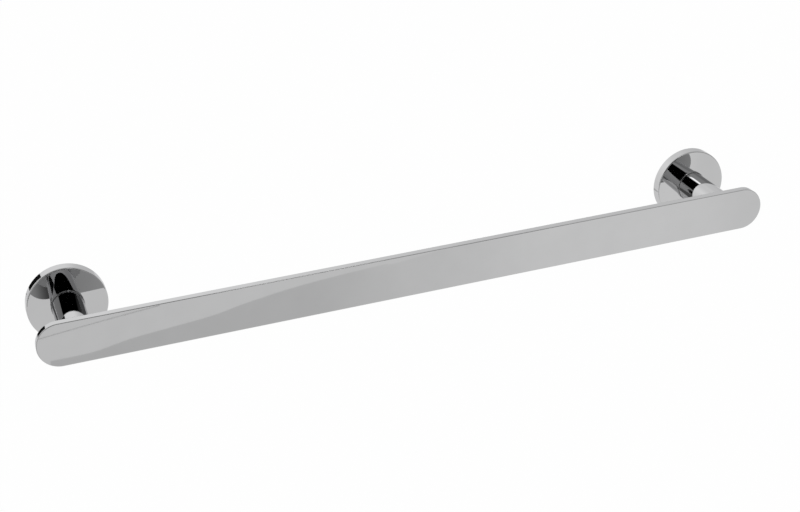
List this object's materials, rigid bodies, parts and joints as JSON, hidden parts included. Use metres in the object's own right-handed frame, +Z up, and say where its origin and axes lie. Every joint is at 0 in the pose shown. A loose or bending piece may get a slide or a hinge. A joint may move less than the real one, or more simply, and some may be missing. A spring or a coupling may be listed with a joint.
{
  "type": "towel bar",
  "caption": "Wall-mounted towel bar: a flat chrome bar with round ends, held off the wall by round posts on round wall flanges.",
  "frame": {"origin": "on the wall plane, half way between the two posts, at the height of their axes", "axes": "+X along the bar to the right as seen from the room, +Y into the wall, +Z up"},
  "size_m": [0.51, 0.0605, 0.053],
  "materials": {
    "chrome_plate": "polished chrome plate, mirror bright",
    "zinc_plate": "zinc-plated steel, dull",
    "plain_steel": "plain stainless steel, machined"
  },
  "bodies": {
    "root": {"bar": "chrome_plate", "flange_left": "chrome_plate", "post_left": "chrome_plate", "wall_bracket_left": "zinc_plate", "flange_screw_left": "plain_steel", "lock_washer_left": "plain_steel", "grub_screw_left": "plain_steel", "bar_stud_left": "plain_steel", "flange_right": "chrome_plate", "post_right": "chrome_plate", "wall_bracket_right": "zinc_plate", "flange_screw_right": "plain_steel", "lock_washer_right": "plain_steel", "grub_screw_right": "plain_steel", "bar_stud_right": "plain_steel"}
  },
  "joints": []
}
